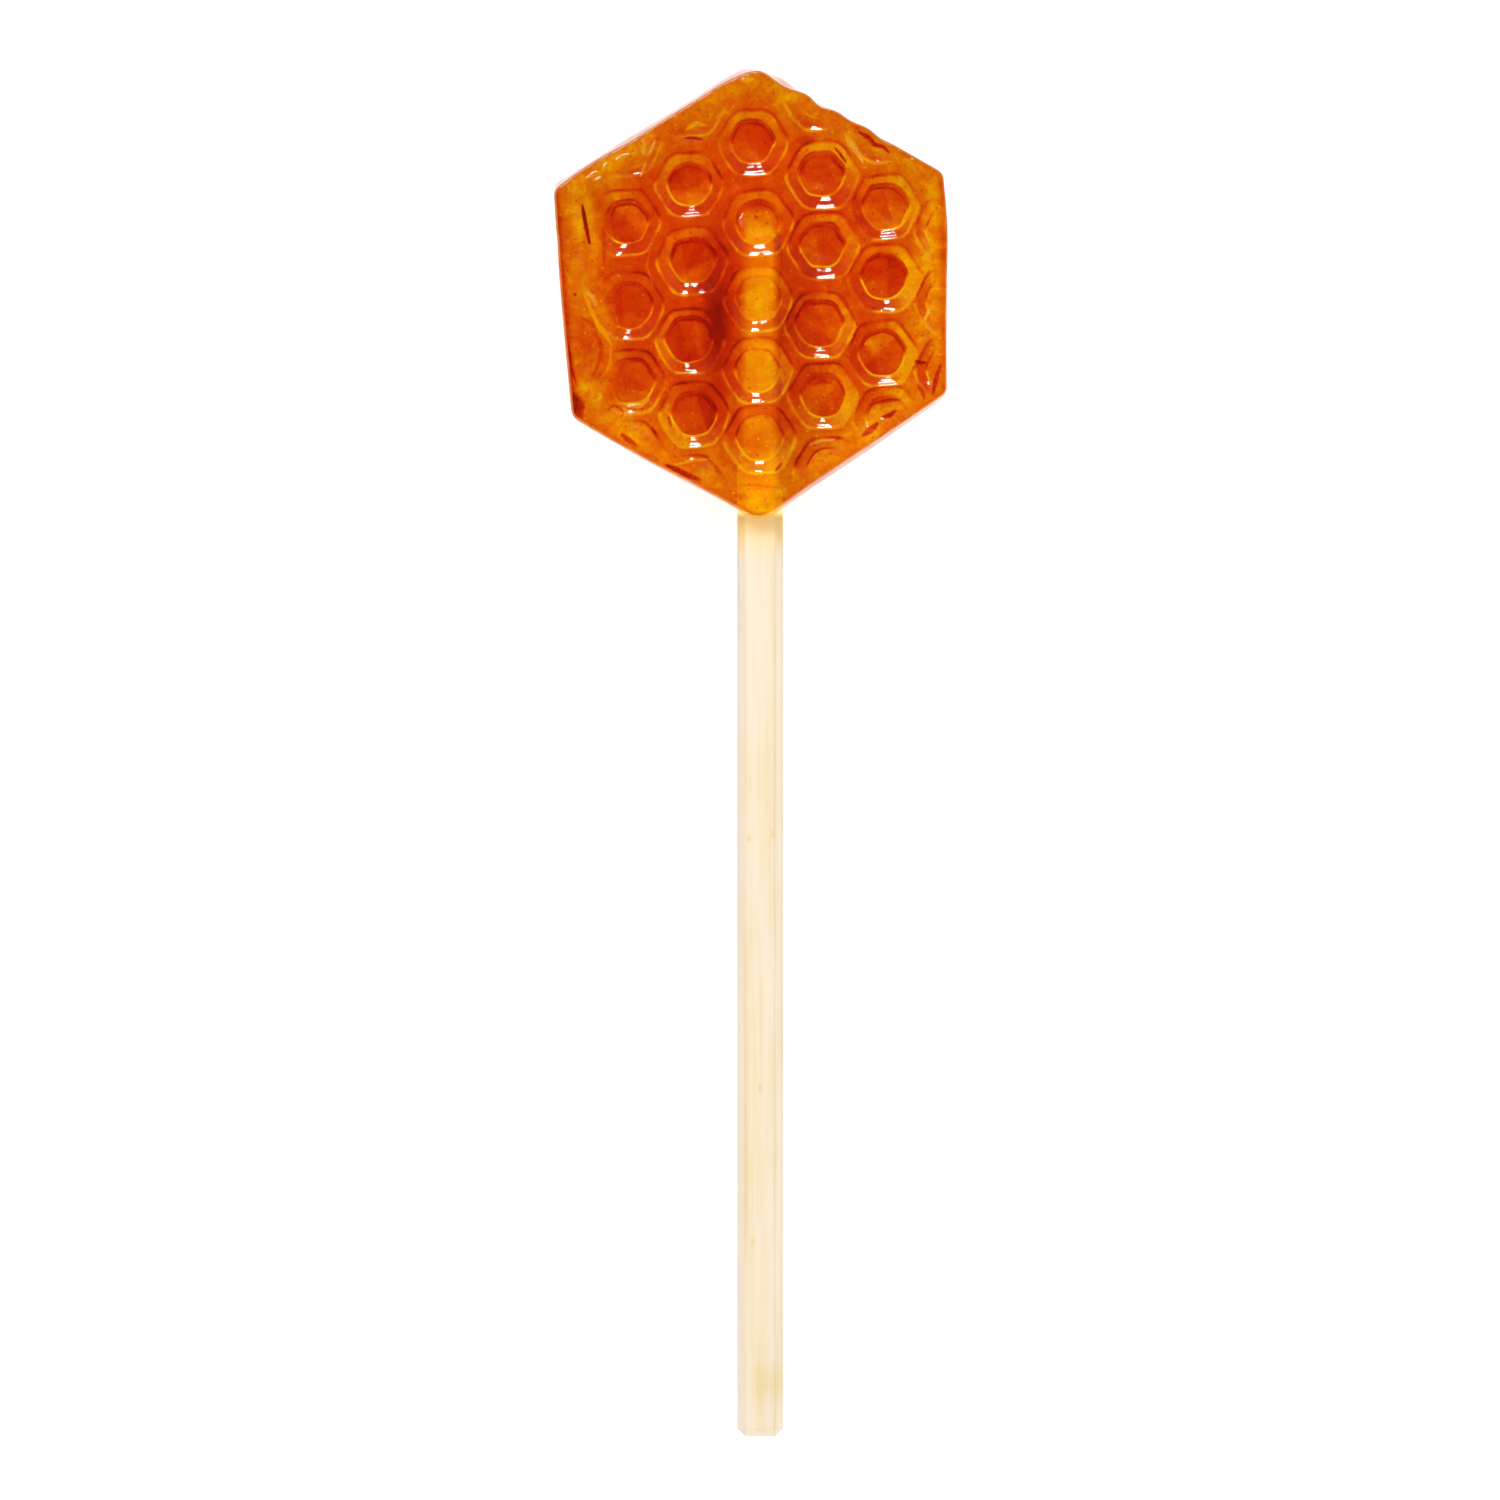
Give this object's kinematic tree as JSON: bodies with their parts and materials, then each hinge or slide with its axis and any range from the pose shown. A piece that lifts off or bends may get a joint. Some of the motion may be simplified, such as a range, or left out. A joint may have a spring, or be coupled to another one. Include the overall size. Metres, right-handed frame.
{
  "type": "honey lollipop",
  "caption": "Clear amber hexagonal lollipop with honeycomb cells pressed into its face, cast round a square wooden stick.",
  "frame": {"origin": "middle of the lollipop's length and width, on the surface that the back of the candy rests on", "axes": "+Y from the stick's free end to the candy, +Z out of the candy's pressed face, +X to the right seen from above"},
  "size_m": [0.0367, 0.1284, 0.0075],
  "materials": {
    "honey_candy": "clear amber boiled honey candy, glossy, with a softly melted surface",
    "pale_wood": "bare pale birch with straight fine grain"
  },
  "bodies": {
    "root": {"candy": "honey_candy", "stick": "pale_wood"}
  },
  "joints": []
}
